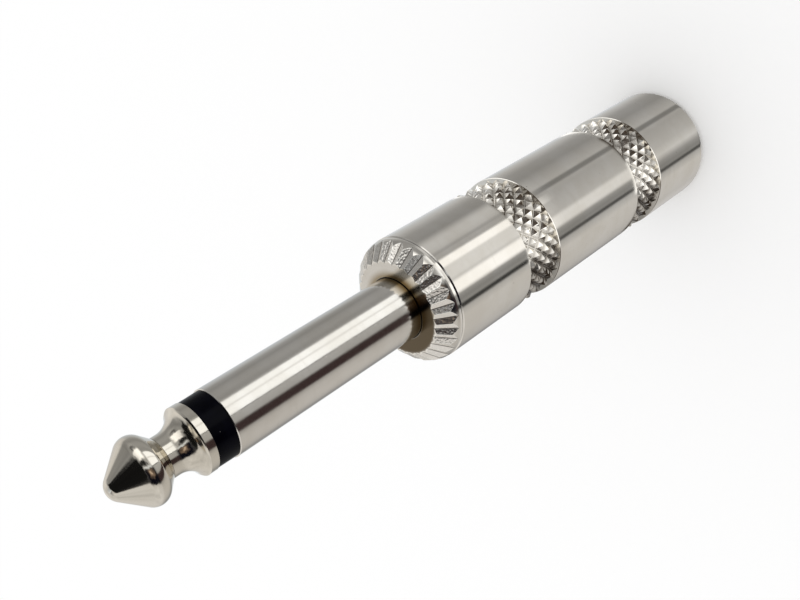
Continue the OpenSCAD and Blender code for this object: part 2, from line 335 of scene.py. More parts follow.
def card_material(name, centre_z, near, shades, strips):
    """Emission by azimuth: shades are (azimuth, colour) stops all round, and strips lie over them."""
    material = bpy.data.materials.new(name)
    material.use_nodes = True
    tree = material.node_tree
    tree.nodes.remove(tree.nodes["Principled BSDF"])
    place = add(tree, "ShaderNodeTexCoord").outputs["Object"]
    x, y, z = add(tree, "ShaderNodeSeparateXYZ", Vector=place).outputs
    azimuth = calc(tree, "DEGREES", calc(tree, "ARCTAN2", y, x))
    lift = calc(tree, "SUBTRACT", z, centre_z * mm)
    if near:
        height = calc(tree, "DIVIDE", z, mm)
    else:
        reach = calc(tree, "SQRT", calc(tree, "ADD", calc(tree, "MULTIPLY", x, x), calc(tree, "MULTIPLY", y, y)))
        height = calc(tree, "DEGREES", calc(tree, "ARCTAN2", lift, reach))
        bend = add(tree, "ShaderNodeTexNoise", Vector=place, Scale=bend_cells, Detail=1.5).outputs["Color"]
        bend_azimuth, bend_height, _ = add(tree, "ShaderNodeSeparateXYZ", Vector=bend).outputs
        share = calc(tree, "MULTIPLY", soft_step(tree, height, -8.0, 12.0), bend_degrees)
        azimuth = calc(tree, "MULTIPLY_ADD", calc(tree, "SUBTRACT", bend_azimuth, 0.5), share, azimuth)
        height = calc(tree, "MULTIPLY_ADD", calc(tree, "SUBTRACT", bend_height, 0.5), share, height)
    ramp = add(tree, "ShaderNodeValToRGB", Fac=calc(tree, "ADD", calc(tree, "DIVIDE", azimuth, 360.0), 0.5))
    stops = ramp.color_ramp.elements
    while len(stops) > 1:
        stops.remove(stops[-1])
    for number, (turn_to, colour) in enumerate(shades):
        position = turn_to / 360 + 0.5
        stop = stops.new(position) if number else stops[0]
        stop.position = position
        stop.color = (*colour, 1)
    light = ramp.outputs["Color"]
    for middle, half_width, softness, low, high, height_softness, colour, cover in strips:
        mask = add(tree, "ShaderNodeGroup", {"node_tree": strip_group}, Azimuth=azimuth, Height=height,
                   Middle=middle, Half_Width=half_width, Softness=softness, Low=low, High=high,
                   Height_Softness=height_softness).outputs["Mask"]
        light = add(tree, "ShaderNodeMix", {"data_type": "RGBA"}, Factor=calc(tree, "MULTIPLY", mask, cover),
                    i6=light, i7=(*colour, 1)).outputs[2]
    strength = 1.0
    if not near:
        unevenness = calc(tree, "SUBTRACT", add(tree, "ShaderNodeTexNoise", Vector=place, Scale=uneven_cells,
                                                Detail=2.0).outputs[0], 0.5)
        strength = calc(tree, "MULTIPLY_ADD", unevenness, calc(tree, "DIVIDE", share, bend_degrees), 1.0)
    glow = add(tree, "ShaderNodeEmission", Color=light, Strength=strength)
    tree.links.new(glow.outputs[0], tree.nodes["Material Output"].inputs["Surface"])
    return material


def card_shell(name, outline, material):
    mesh = bpy.data.meshes.new(name)
    shape = turn(outline)
    shape.to_mesh(mesh)
    shape.free()
    mesh.materials.append(material)
    shell = bpy.data.objects.new(name, mesh)
    scene.collection.objects.link(shell)
    shell.visible_camera = shell.visible_diffuse = shell.visible_shadow = shell.visible_transmission = False
    print(f"{name}: {len(mesh.polygons)} faces, {shell.dimensions.x / mm:.0f} mm across")
    return shell


def grey(level, warmth=0.0):
    return (level * (1 + warmth), level, level * (1 - warmth))


ring_card_r, dome_card_r, dome_middle_z = 8.0, 400.0, 50.0
far_shades = [(-180, grey(0.62, 0.03)), (-158, grey(0.58, 0.03)), (-148, grey(0.46, 0.03)), (-110, grey(0.48)),
              (-92, grey(0.52)), (-42, grey(0.44)), (-32, grey(0.34)), (-14, grey(0.40)), (2, grey(0.38)),
              (16, grey(0.31)), (31, grey(0.38)), (44, grey(0.54, -0.03)), (66, grey(0.66, -0.05)),
              (80, grey(0.74, -0.05)), (100, grey(0.96, -0.05)), (109, grey(0.80, -0.04)), (120, grey(0.36)),
              (131, grey(0.32)), (150, grey(0.54, 0.02)), (165, grey(0.61, 0.03)), (180, grey(0.62, 0.03))]
far_strips = [
    # middle, half width, softness, low, high, height softness, colour, cover
    (125, 88, 8, -6, 62, 7, grey(0.72, 0.02), 1.0),
    (-129.5, 14, 4, -90, 0, 8, (0.050, 0.032, 0.032), 1.0),
    (-65, 24, 2.5, -60, -4, 6, grey(1.38, -0.02), 1.0),
    (-62, 2.5, 1.5, -60, -4, 6, grey(1.02), 1.0),
    (-89.5, 1.2, 0.7, -60, -4, 6, grey(0.12), 1.0),
    (-119, 27, 5, -8, 60, 7, (0.004, 0.004, 0.009), 1.0),
    (-106, 10, 7, 8, 38, 12, (0.36, 0.26, 0.19), 1.0),
    (-105, 3, 3, 18, 30, 8, (0.85, 0.68, 0.52), 1.0),
    (-83, 5, 4, 2, 48, 8, grey(0.85, -0.05), 1.0),
    (-36, 20, 7, 4, 44, 9, grey(1.38), 1.0),
    (-11, 7, 5, 8, 34, 7, grey(0.10), 0.9),
    (-64, 11, 5, 18, 60, 8, grey(0.02), 1.0),
    (-60, 92, 8, 57, 95, 3, grey(0.008), 1.0),
]
near_shades = [(-180, grey(0.45, 0.02)), (-170, grey(0.55, 0.02)), (-154, grey(0.65, 0.02)),
               (-131, grey(0.70, 0.02)), (-123, grey(0.56)), (-113, grey(0.29)), (-107, grey(0.40)),
               (-100, grey(0.76)), (-90, grey(0.60)), (-70, grey(0.48)), (-57, grey(0.54)), (-47, grey(0.45)),
               (-36, grey(0.34)), (-20, grey(0.39)), (-4, grey(0.58)), (10, grey(0.69, -0.03)),
               (22, grey(0.80, -0.04)), (60, grey(0.6)), (110, grey(0.5)), (150, grey(0.5)), (163, grey(0.30)),
               (172, grey(0.32)), (180, grey(0.45, 0.02))]
near_strips = [
    (-119.7, 2.5, 1.5, 28, 60, 1, grey(0.05), 1.0),
    (-118.0, 2.1, 1.5, -5, 28, 1, grey(0.10), 1.0),
    (-99.5, 6, 2.5, 10, 60, 4, grey(0.93), 1.0),
    (-82, 9.5, 3, 28, 60, 3, grey(0.93), 1.0),
    (-99.5, 6, 2.5, 28, 60, 3, grey(1.38), 1.0),
    (-72.7, 4.2, 1.5, 28, 60, 3, grey(1.38), 1.0),
    (-61.5, 3, 1.5, -5, 28, 3, grey(0.26), 1.0),
    (-60.5, 1.8, 1.1, 28, 60, 3, grey(0.40), 1.0),
    (-50, 8, 6, 28, 60, 3, grey(0.66), 1.0),
    (-188, 22, 8, -5, 9, 4, grey(0.66, 0.02), 0.8),
    (92, 15, 6, -5, 60, 1, grey(1.10), 1.0),
    (66, 3, 2, -5, 60, 1, grey(0.12), 1.0),
    (128, 9, 5, -5, 60, 1, grey(0.24), 1.0),
    (117, 2, 1, -5, 60, 1, grey(0.95), 1.0),
]
far_cards = Outline(ring_card_r, 0.1).line(dome_card_r, 0.1)
far_cards.line(dome_card_r, dome_middle_z).arc(0, dome_middle_z, 90, 32)
card_shell("far_cards", far_cards, card_material("far_card_paint", dome_middle_z, False, far_shades, far_strips))
knurl_strips = [
    # middle, half width, softness, start and end above the band's foot in millimetres, colour
    (-155, 32, 3, 0.2, 2.0, (0.05, 0.035, 0.025)),
    (-106, 19, 3, 0.2, 3.1, grey(1.45)),
    (-64, 21, 4, 0.2, 3.1, (0.06, 0.045, 0.034)),
    (-12, 29, 4, 0.2, 2.0, grey(1.40)),
]
near_strips += [(middle, half_width, softness, foot + low, foot + high, 0.25, colour, 1.0)
                for foot in (9.9, 29.15) for middle, half_width, softness, low, high, colour in knurl_strips]
card_shell("ring_cards", Outline(5.0, -3).line(ring_card_r, -3).line(ring_card_r, 44),
           card_material("ring_card_paint", 0, True, near_shades, near_strips))

# %% [markdown]
# ## Node groups for metal
#
# All the plated pieces carry the same small marks, each in its own amount, so every mark is a node
# group that is built once. Patterns read Object coordinates, in millimetres from here on.
#
# A lathe leaves rings round the axis. Noise gives such rings when it is squeezed along the
# axis and stretched round it. The rings follow z plus a share of the radius, so they show on a
# cylinder, on a flat face and on a cone alike.

# %% Turning lines
radius_share = 0.37


def spread(tree, x, y, z):
    return add(tree, "ShaderNodeCombineXYZ", X=x, Y=y, Z=z).outputs[0]


def noise_of(tree, place, scale, detail=2.0, rough=0.55):
    return add(tree, "ShaderNodeTexNoise", Vector=place, Scale=scale, Detail=detail, Roughness=rough).outputs[0]


lines_group, lines_in, lines_out = new_group(
    "turning_lines", [("Place", "NodeSocketVector"), ("Spacing", "NodeSocketFloat"), ("Drift", "NodeSocketFloat")],
    [("Height", "NodeSocketFloat"), ("Tone", "NodeSocketFloat")])
line_x, line_y, line_z = add(lines_group, "ShaderNodeSeparateXYZ", Vector=lines_in["Place"]).outputs
line_r = calc(lines_group, "SQRT", calc(lines_group, "ADD", calc(lines_group, "MULTIPLY", line_x, line_x),
                                        calc(lines_group, "MULTIPLY", line_y, line_y)))
line_along = calc(lines_group, "MULTIPLY_ADD", line_r, radius_share, line_z)
line_place = spread(lines_group, calc(lines_group, "DIVIDE", line_x, lines_in["Drift"]),
                    calc(lines_group, "DIVIDE", line_y, lines_in["Drift"]),
                    calc(lines_group, "DIVIDE", line_along, lines_in["Spacing"]))
lines_group.links.new(noise_of(lines_group, line_place, 1.0, 3.0, 0.7), lines_out["Height"])
line_tone = add(lines_group, "ShaderNodeVectorMath", {"operation": "MULTIPLY"}, i0=line_place, i1=(0.6, 0.6, 0.22))
lines_group.links.new(noise_of(lines_group, line_tone.outputs[0], 1.0, 2.0, 0.6), lines_out["Tone"])
print("group:", lines_group.name)

# %% [markdown]
# Plating is never quite even. A fine grain breaks up its mirror image, and wide soft clouds make
# it a little darker here and brighter there. Single pits are cells of a Voronoi pattern, of which only
# a few, picked by the cell's random colour, get a dark dot at their centre.

# %% Grain, clouds and pits
grain_group, grain_in, grain_out = new_group(
    "plating_grain", [("Place", "NodeSocketVector"), ("Grain Size", "NodeSocketFloat"),
                      ("Cloud Size", "NodeSocketFloat")],
    [("Height", "NodeSocketFloat"), ("Cloud", "NodeSocketFloat")])
grain_group.links.new(noise_of(grain_group, grain_in["Place"], calc(grain_group, "DIVIDE", 1.0, grain_in["Grain Size"])),
                      grain_out["Height"])
cloud = noise_of(grain_group, grain_in["Place"], calc(grain_group, "DIVIDE", 1.0, grain_in["Cloud Size"]), 3.0, 0.6)
grain_group.links.new(soft_step(grain_group, cloud, 0.35, 0.65), grain_out["Cloud"])

pit_group, pit_in, pit_out = new_group(
    "small_pits", [("Place", "NodeSocketVector"), ("Spacing", "NodeSocketFloat"), ("Radius", "NodeSocketFloat"),
                   ("Share", "NodeSocketFloat")], [("Mask", "NodeSocketFloat")])
cells = add(pit_group, "ShaderNodeTexVoronoi", Vector=pit_in["Place"],
            Scale=calc(pit_group, "DIVIDE", 1.0, pit_in["Spacing"])).outputs
pit_reach = calc(pit_group, "DIVIDE", pit_in["Radius"], pit_in["Spacing"])
pit_dot = soft_step(pit_group, cells["Distance"], pit_reach, calc(pit_group, "MULTIPLY", pit_reach, 0.5))
pit_pick = calc(pit_group, "LESS_THAN", add(pit_group, "ShaderNodeSeparateXYZ", Vector=cells["Color"]).outputs[0],
                pit_in["Share"])
pit_group.links.new(calc(pit_group, "MULTIPLY", pit_dot, pit_pick), pit_out["Mask"])
print("groups:", grain_group.name, pit_group.name)

# %% [markdown]
# Outer corners get a painted highlight, with some wear, and inner corners get painted shade, with some dirt.
# The meshes know their own corners, so each piece carries two numbers at every vertex, one for outer and
# one for inner corners, and this group reads them. A noise frays both masks a little, so that neither
# follows an edge evenly.

# %% Corner masks for painted highlight and painted shade, with wear and dirt
corner_mark_group, corner_mark_in, corner_mark_out = new_group(
    "corner_wear_and_painted_light", [("Place", "NodeSocketVector"), ("Fray", "NodeSocketFloat")],
    [("Worn And Highlit", "NodeSocketFloat"), ("Cleft", "NodeSocketFloat")])
fray = noise_of(corner_mark_group, corner_mark_in["Place"], 3.5, 3.0, 0.6)
for attribute, socket in (("worn_and_highlit_edge", "Worn And Highlit"), ("cleft", "Cleft")):
    corner = add(corner_mark_group, "ShaderNodeAttribute", {"attribute_name": attribute}).outputs["Fac"]
    frayed = calc(corner_mark_group, "SUBTRACT", corner, calc(corner_mark_group, "MULTIPLY", fray, corner_mark_in["Fray"]))
    corner_mark_group.links.new(soft_step(corner_mark_group, frayed, 0.0, 0.7), corner_mark_out[socket])
print("group:", corner_mark_group.name)

# %% [markdown]
# ## Nickel
#
# Nickel plating is a warm grey mirror. One function builds all its finishes: the tip is polished,
# the sleeve and the barrel keep fine turning lines, and the pressed flanks of the grooves and the
# knurl are pebbled, because the tool that pressed them was rough.
# The corner between the sleeve and the collar gets a golden-brown painted shade, coloured as the nickel mirroring
# itself there, and one side of the collar's face and of the knurl's grooves gets a darker painted shade.

# %% Nickel finishes
sleeve_foot_r, sleeve_foot_z, foot_shade_reach = 3.175, 46.25, 1.3


def new_material(name, metallic, roughness):
    material = bpy.data.materials.new(name)
    material.use_nodes = True
    tree = material.node_tree
    shader = tree.nodes["Principled BSDF"]
    shader.inputs["Metallic"].default_value = metallic
    shader.inputs["Roughness"].default_value = roughness
    place = add(tree, "ShaderNodeVectorMath", {"operation": "SCALE"},
                Vector=add(tree, "ShaderNodeTexCoord").outputs["Object"], Scale=1 / mm).outputs[0]
    return material, tree, shader, place


def blend(tree, factor, first, second):
    """A colour mix; colours are tuples or sockets."""
    first, second = [(*c, 1) if isinstance(c, tuple) else c for c in (first, second)]
    return add(tree, "ShaderNodeMix", {"data_type": "RGBA"}, Factor=factor, i6=first, i7=second).outputs[2]


def placed(tree, group, **values):
    return add(tree, "ShaderNodeGroup", {"node_tree": group}, **values).outputs


def weighed_sum(tree, *pairs):
    total = 0.0
    for value, weight in pairs:
        total = calc(tree, "MULTIPLY_ADD", value, weight, total)
    return total


def nickel(name, tint, roughness, line_depth, grain_depth, pebble_depth=0.0, pebble_size=0.2, cleft_dirt_and_shade=0.75,
           edge_wear_and_highlight=1.0, foot_shade=0.0, side_shade=0.0):
    """Depths and sizes are in millimetres."""
    material, tree, shader, place = new_material(name, 1, roughness)
    lines = placed(tree, lines_group, Place=place, Spacing=0.22, Drift=3.0)
    grain = placed(tree, grain_group, Place=place, Grain_Size=0.25, Cloud_Size=4.5)
    pits = placed(tree, pit_group, Place=place, Spacing=0.9, Radius=0.07, Share=0.12)["Mask"]
    corner_marks = placed(tree, corner_mark_group, Place=place, Fray=0.35)
    shade = tuple(c * k for c, k in zip(tint, (0.94, 0.93, 0.91)))
    bright = tuple(min(c * 1.16, 0.97) for c in tint)
    colour = blend(tree, grain["Cloud"], tint, shade)
    colour = blend(tree, calc(tree, "MULTIPLY", soft_step(tree, lines["Tone"], 0.55, 0.75), 0.5), colour, shade)
    x, y, z = add(tree, "ShaderNodeSeparateXYZ", Vector=place).outputs
    # This value grows towards the -x side of the piece, and a little towards -y, with the plating's clouds mixed in;
    # it places painted shade on that side.
    shaded_side = calc(tree, "ADD", grain["Cloud"], weighed_sum(tree, (x, -0.95), (y, -0.3)))
    if foot_shade:
        off_foot = calc(tree, "ABSOLUTE", calc(tree, "SUBTRACT", z, sleeve_foot_z))
        r = add(tree, "ShaderNodeVectorMath", {"operation": "LENGTH"}, Vector=spread(tree, x, y, 0.0)).outputs["Value"]
        # A golden-brown painted shade round the sleeve's foot, in the warm colour of the nickel mirroring itself in
        # that corner.
        shaded_foot = calc(tree, "MULTIPLY", soft_step(tree, off_foot, foot_shade_reach, 0.2), foot_shade)
        colour = blend(tree, calc(tree, "MULTIPLY", shaded_foot, soft_step(tree, r, 4.2, 3.1)), colour, (0.30, 0.23, 0.13))
        # A darker painted shade on the collar's flat face round the sleeve, on that one side only.
        on_face = calc(tree, "MULTIPLY", soft_step(tree, r, 5.2, 4.5), soft_step(tree, r, 3.18, 3.24))
        side_shade_patch = calc(tree, "MULTIPLY", soft_step(tree, shaded_side, 0.4, 2.8), on_face)
        colour = blend(tree, calc(tree, "MULTIPLY", side_shade_patch, shaded_foot), colour, (0.115, 0.088, 0.054))
    # Inner corners are darkened: painted shade in the creases, along with some dirt.
    colour = blend(tree, calc(tree, "MULTIPLY", corner_marks["Cleft"], cleft_dirt_and_shade), colour, (0.05, 0.035, 0.025))
    # Outer corners are lightened: a painted highlight along the edges, along with some wear.
    colour = blend(tree, calc(tree, "MULTIPLY", corner_marks["Worn And Highlit"], edge_wear_and_highlight), colour, bright)
    if foot_shade:
        off_joint = calc(tree, "ABSOLUTE", calc(tree, "SUBTRACT", r, sleeve_foot_r))
        joint = calc(tree, "MULTIPLY", soft_step(tree, off_joint, 0.11, 0.06), soft_step(tree, off_foot, 0.13, 0.08))
        colour = blend(tree, joint, colour, (0.03, 0.02, 0.012))
    if side_shade:
        # Painted shade in the knurl's grooves, on the same one side of the barrel, weaker on the ridges.
        off_ridge = calc(tree, "MULTIPLY_ADD", corner_marks["Worn And Highlit"], -0.5, 1.0)
        side_shaded = calc(tree, "MULTIPLY", soft_step(tree, shaded_side, 4.1, 6.1), calc(tree, "MULTIPLY", off_ridge, side_shade))
        colour = blend(tree, side_shaded, colour, (0.06, 0.043, 0.03))
    colour = blend(tree, calc(tree, "MULTIPLY", pits, 0.7), colour, (0.12, 0.10, 0.08))
    tree.links.new(colour, shader.inputs["Base Color"])
    rough = weighed_sum(tree, (grain["Cloud"], 0.03), (lines["Tone"], 0.08), (corner_marks["Cleft"], 0.2), (pits, 0.25))
    tree.links.new(calc(tree, "ADD", rough, roughness - 0.05), shader.inputs["Roughness"])
    height = weighed_sum(tree, (lines["Height"], line_depth), (grain["Height"], grain_depth), (pits, -0.01))
    if pebble_depth:
        pebbles = add(tree, "ShaderNodeTexVoronoi", {"feature": "SMOOTH_F1"}, Vector=place,
                      Scale=1 / pebble_size).outputs["Distance"]
        height = calc(tree, "MULTIPLY_ADD", pebbles, -pebble_depth, height)
    bump = add(tree, "ShaderNodeBump", Height=height, Distance=mm, Strength=1.0)
    tree.links.new(bump.outputs[0], shader.inputs["Normal"])
    return material


polished_nickel = nickel("polished_nickel", (0.73, 0.69, 0.61), 0.085, 0.0006, 0.0012, edge_wear_and_highlight=0.4)
turned_nickel = nickel("turned_nickel", (0.72, 0.69, 0.635), 0.13, 0.0018, 0.0018, foot_shade=1.0)
# The pressed flanks have a lighter tint than the turned nickel: a painted brightening, so the collar's facets mirror
# brighter.
pressed_nickel = nickel("pressed_nickel", (0.86, 0.83, 0.78), 0.24, 0.0, 0.002, pebble_depth=0.03, cleft_dirt_and_shade=0.85)
knurled_nickel = nickel("knurled_nickel", (0.80, 0.77, 0.71), 0.12, 0.0, 0.003, pebble_depth=0.008, cleft_dirt_and_shade=0.35,
                         side_shade=0.9)
print("nickel finishes:", polished_nickel.name, turned_nickel.name, pressed_nickel.name, knurled_nickel.name)

# %% [markdown]
# ## Black moulding
#
# The insulating ring is a hard, nearly black plastic with a blue cast. It mirrors far less than
# metal does, so its specular level is low. The mould leaves a faint orange-peel surface, and a
# few grains of dust keep it from looking like a hole.

# %% Black moulding
black_moulding, tree, shader, place = new_material("black_moulding", 0, 0.24)
shader.inputs["Specular IOR Level"].default_value = 0.045
grain = placed(tree, grain_group, Place=place, Grain_Size=0.35, Cloud_Size=1.4)
dust = placed(tree, pit_group, Place=place, Spacing=0.5, Radius=0.05, Share=0.1)["Mask"]
corner_marks = placed(tree, corner_mark_group, Place=place, Fray=0.5)
colour = blend(tree, grain["Cloud"], (0.0003, 0.0003, 0.0014), (0.0008, 0.0008, 0.003))
# Outer edges are lightened a little: a painted highlight along the moulding's edges, along with some wear.
colour = blend(tree, calc(tree, "MULTIPLY", corner_marks["Worn And Highlit"], 0.35), colour, (0.03, 0.03, 0.04))
colour = blend(tree, calc(tree, "MULTIPLY", dust, 0.3), colour, (0.25, 0.24, 0.22))
tree.links.new(colour, shader.inputs["Base Color"])
tree.links.new(weighed_sum(tree, (grain["Cloud"], 0.1), (1.0, 0.2)), shader.inputs["Roughness"])
bump = add(tree, "ShaderNodeBump", Height=calc(tree, "MULTIPLY", grain["Height"], 0.003), Distance=mm)
tree.links.new(bump.outputs[0], shader.inputs["Normal"])

# %% [markdown]
# ## Inner pieces
#
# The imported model's own solids are right for the pieces inside the barrel, so they stay and get a
# finish each. The two terminals and the washer are tinned brass sheet, with a rolled grain along the
# strip and brass showing through the tin in patches. The insulators are laminated fibre, whose layers
# show as fine brown lines. The liner is wound card, with fibres and one seam that runs up it as a helix.

# %% Tinned brass
tinned_sheet, tree, shader, place = new_material("tinned_sheet", 1, 0.3)
rolled = add(tree, "ShaderNodeVectorMath", {"operation": "MULTIPLY"}, i0=place, i1=(6.0, 6.0, 0.35)).outputs[0]
grain = placed(tree, grain_group, Place=place, Grain_Size=0.3, Cloud_Size=1.1)
rolling = noise_of(tree, rolled, 1.0, 3.0, 0.65)
pits = placed(tree, pit_group, Place=place, Spacing=0.7, Radius=0.08, Share=0.15)["Mask"]
colour = blend(tree, grain["Cloud"], (0.80, 0.78, 0.72), (0.76, 0.66, 0.43))
colour = blend(tree, calc(tree, "MULTIPLY", soft_step(tree, rolling, 0.5, 0.7), 0.4), colour, (0.62, 0.57, 0.46))
colour = blend(tree, calc(tree, "MULTIPLY", pits, 0.6), colour, (0.2, 0.16, 0.1))
tree.links.new(colour, shader.inputs["Base Color"])
tree.links.new(weighed_sum(tree, (rolling, 0.3), (grain["Cloud"], 0.08), (1.0, 0.15)), shader.inputs["Roughness"])
bump = add(tree, "ShaderNodeBump", Height=weighed_sum(tree, (rolling, 0.004), (grain["Height"], 0.003), (pits, -0.01)),
           Distance=mm)
tree.links.new(bump.outputs[0], shader.inputs["Normal"])

# %% Laminated fibre
laminated_fibre, tree, shader, place = new_material("laminated_fibre", 0, 0.45)
layers = placed(tree, lines_group, Place=place, Spacing=0.14, Drift=6.0)
grain = placed(tree, grain_group, Place=place, Grain_Size=0.18, Cloud_Size=1.6)
flecks = placed(tree, pit_group, Place=place, Spacing=0.35, Radius=0.09, Share=0.2)["Mask"]
colour = blend(tree, layers["Height"], (0.33, 0.17, 0.08), (0.50, 0.31, 0.17))
colour = blend(tree, calc(tree, "MULTIPLY", grain["Cloud"], 0.35), colour, (0.36, 0.20, 0.10))
colour = blend(tree, calc(tree, "MULTIPLY", flecks, 0.4), colour, (0.60, 0.42, 0.25))
tree.links.new(colour, shader.inputs["Base Color"])
tree.links.new(weighed_sum(tree, (grain["Height"], 0.25), (1.0, 0.32)), shader.inputs["Roughness"])
bump = add(tree, "ShaderNodeBump", Height=weighed_sum(tree, (layers["Height"], 0.008), (grain["Height"], 0.004)),
           Distance=mm)
tree.links.new(bump.outputs[0], shader.inputs["Normal"])

# %% Wound card
winding_pitch, seam_width = 24.0, 0.012
wound_card, tree, shader, place = new_material("wound_card", 0, 0.85)
x, y, z = add(tree, "ShaderNodeSeparateXYZ", Vector=place).outputs
round_once = calc(tree, "DIVIDE", calc(tree, "ARCTAN2", y, x), math.tau)
winding = calc(tree, "FRACT", calc(tree, "ADD", calc(tree, "DIVIDE", z, winding_pitch), round_once))
seam = soft_step(tree, calc(tree, "ABSOLUTE", calc(tree, "SUBTRACT", winding, 0.5)), seam_width, seam_width / 2)
fibres = add(tree, "ShaderNodeVectorMath", {"operation": "MULTIPLY"}, i0=place, i1=(1.2, 1.2, 5.0)).outputs[0]
fibre = noise_of(tree, fibres, 1.5, 4.0, 0.7)
grain = placed(tree, grain_group, Place=place, Grain_Size=0.2, Cloud_Size=2.5)
colour = blend(tree, fibre, (0.70, 0.65, 0.52), (0.86, 0.82, 0.71))
colour = blend(tree, calc(tree, "MULTIPLY", grain["Cloud"], 0.25), colour, (0.72, 0.64, 0.48))
colour = blend(tree, calc(tree, "MULTIPLY", seam, 0.6), colour, (0.42, 0.36, 0.27))
tree.links.new(colour, shader.inputs["Base Color"])
tree.links.new(weighed_sum(tree, (fibre, 0.15), (1.0, 0.75)), shader.inputs["Roughness"])
bump = add(tree, "ShaderNodeBump", Height=weighed_sum(tree, (fibre, 0.02), (grain["Height"], 0.008), (seam, -0.05)),
           Distance=mm)
tree.links.new(bump.outputs[0], shader.inputs["Normal"])

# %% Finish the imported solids
for node, material in (("sleeve_terminal", tinned_sheet), ("tip_terminal", tinned_sheet),
                       ("rod_washer", tinned_sheet), ("insulating_tube", laminated_fibre),
                       ("rear_insulator", laminated_fibre), ("barrel_liner", wound_card)):
    for material_slot in frame["nodes"][node].material_slots:
        material_slot.material = material
    print(f"{node}: {material.name} in {len(frame['nodes'][node].material_slots)} slot")
# %% [markdown]
# ## Tip contact
#
# The tip is one turned piece with the rod that runs back through the sleeve. The jack's spring
# rests in its neck, so the neck has a flare behind it and a sharp crease in front of it.
# Ball and nose are arcs that leave the straight back and the cone at a tangent, which keeps the
# reflections running over them without a break.

# %% Tip contact
sleeve_r = 3.175
collar_z, face_z, sleeve_z, tip_z = 44.15, 46.25, 67.45, 69.45
band_r, band_len, band_bevel = 3.105, 0.9, 0.12
neck_r, flare_len, neck_len = 1.83, 1.8, 0.62
ball_r, ball_round, nose_round = 3.03, 1.15, 1.34
back_slope, cone_slope = math.radians(45), math.radians(42)
rod_r, peen_r, peen_len = 0.9, 1.35, 0.55
washer_z = 34.05

band_end = tip_z + band_len
flare_drop = band_r - band_bevel - neck_r
flare_r = (flare_len ** 2 + flare_drop ** 2) / (2 * flare_drop)
flare_turn = math.degrees(math.asin(flare_len / flare_r))
crease_z = band_end + flare_len + neck_len
ball_back_r = ball_r - ball_round * (1 - math.cos(back_slope))
ball_z = crease_z + (ball_back_r - neck_r) / math.tan(back_slope) + ball_round * math.sin(back_slope)
cone_r = ball_r - ball_round * (1 - math.cos(cone_slope))
cone_z = ball_z + ball_round * math.sin(cone_slope)
nose_z = (cone_z + (cone_r - nose_round * math.cos(cone_slope)) / math.tan(cone_slope)
          - nose_round * math.sin(cone_slope))

tip_outline = (Outline(0, washer_z - peen_len).line(rod_r, washer_z - peen_len)
               .line(peen_r, washer_z - peen_len / 2).line(peen_r, washer_z).line(rod_r, washer_z)
               .line(rod_r, tip_z).line(band_r - 0.04, tip_z).line(band_r, tip_z + 0.04)
               .line(band_r, band_end - band_bevel).line(band_r - band_bevel, band_end)
               .arc(neck_r + flare_r, band_end + flare_len, -flare_turn, 24).line(neck_r, crease_z)
               .line(ball_back_r, ball_z - ball_round * math.sin(back_slope))
               .arc(ball_r - ball_round, ball_z, 87, 32)
               .line(nose_round * math.cos(cone_slope), nose_z + nose_round * math.sin(cone_slope))
               .arc(0, nose_z, 48, 20))
tip_piece = finish_piece("tip", turn(tip_outline), [polished_nickel], "plug", ["tip_contact"])

# %% [markdown]
# ## Black ring
#
# A short moulded ring keeps the tip's contact and the sleeve's apart. It tapers by a hair, as it
# has to leave its mould, and its two edges are rounded where the moulding meets the metal.

# %% Black ring
ring_r, ring_draft, ring_edge = 3.065, 0.03, 0.05
rod_bore_r, plug_in_bore_r, ring_spigot_z = 0.93, 2.07, 65.85
ring_outline = (Outline(rod_bore_r, ring_spigot_z).line(plug_in_bore_r, ring_spigot_z)
                .line(plug_in_bore_r, sleeve_z).line(ring_r - ring_edge, sleeve_z)
                .arc(ring_r - ring_edge, sleeve_z + ring_edge, 90, 4)
                .line(ring_r - ring_draft, tip_z - ring_edge)
                .arc(ring_r - ring_draft - ring_edge, tip_z - ring_edge, 90, 4)
                .line(rod_bore_r, tip_z).close())
ring_piece = finish_piece("ring", turn(ring_outline), [black_moulding], "plug",
                          ["front_insulator"])

# %% [markdown]
# ## Sleeve
#
# The sleeve is a tube with a fine bevel at its front edge, which shows as one bright line next to
# the black ring. Where it stands on the collar it has a hair of a chamfer, so that the joint
# shows as a thin dark line, as two pieces pressed together do.

# %% Sleeve
sleeve_bore_r, shank_r, rolled_r = 2.1, 2.75, 3.4
rolled_z, rolled_edge, sleeve_bevel, joint_chamfer = 36.15, 0.5, 0.06, 0.08
sleeve_outline = (Outline(sleeve_bore_r, rolled_z).line(rolled_r - 0.2, rolled_z)
                  .arc(rolled_r - 0.2, rolled_z + 0.2, 90, 6).line(rolled_r, rolled_z + rolled_edge)
                  .line(shank_r, rolled_z + rolled_edge).line(shank_r, face_z)
                  .line(sleeve_r - joint_chamfer, face_z).line(sleeve_r, face_z + joint_chamfer)
                  .line(sleeve_r, sleeve_z - sleeve_bevel).line(sleeve_r - sleeve_bevel, sleeve_z)
                  .line(sleeve_bore_r, sleeve_z).close())
sleeve_piece = finish_piece("shaft", turn(sleeve_outline), [turned_nickel], "plug", ["sleeve"])

# %% [markdown]
# ## Collar, one half groove
#
# Thirty V grooves run over the collar's dome, from a point in the flat face to a point near the rim.
# Each side of a groove is a flat facet, and two neighbouring facets meet in a thin ridge.
# All grooves are alike, so only half of one is modelled: a slice of the collar a little wider than
# half a groove is spun, cut along the facet's plane, and what stands above that plane is
# pushed down onto it. The slice is then trimmed to exactly half a groove, mirrored and repeated.

